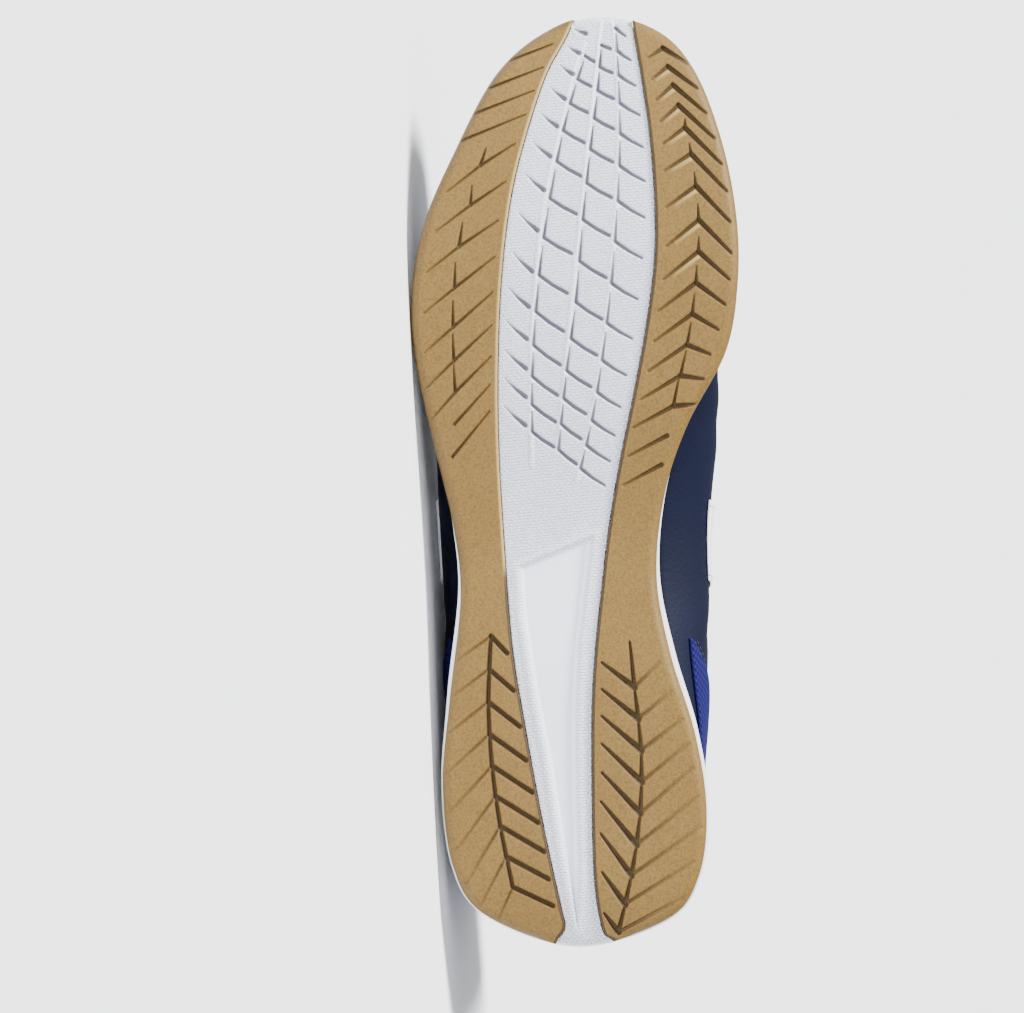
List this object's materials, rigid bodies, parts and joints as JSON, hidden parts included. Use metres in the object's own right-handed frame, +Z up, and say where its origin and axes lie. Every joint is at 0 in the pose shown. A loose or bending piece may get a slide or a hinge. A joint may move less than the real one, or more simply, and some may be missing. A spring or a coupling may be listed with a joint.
{
  "type": "indoor soccer shoe",
  "caption": "Low laced indoor soccer shoe for the right foot, lying on its outer side, with gum tread bands, a white centre strip and a hollow synthetic upper.",
  "frame": {"origin": "centre of the bounding box at its bottom, on the floor that the shoe lies on", "axes": "+Z up, the shoe's length along X with the toe towards -X, the tread facing -Y and the collar's opening facing +Y, on its outer side"},
  "size_m": [0.293, 0.1094, 0.1035],
  "materials": {
    "gum_rubber": "satin",
    "white_rubber": "matte",
    "white_foam": "matte",
    "navy_fabric": "matte",
    "navy_synthetic": "satin",
    "white_synthetic": "satin",
    "blue_mesh": "matte",
    "white_lace": "matte"
  },
  "bodies": {
    "root": {"outsole_lateral": "gum_rubber", "outsole_medial": "gum_rubber", "outsole_centre": "white_rubber", "midsole": "white_foam", "insole": "navy_fabric", "upper": "navy_synthetic", "tongue": "navy_fabric", "eyestay": "navy_synthetic", "side_panel_lateral": "white_synthetic", "side_panel_medial": "white_synthetic", "heel_counter": "blue_mesh", "laces": "white_lace"}
  },
  "joints": []
}
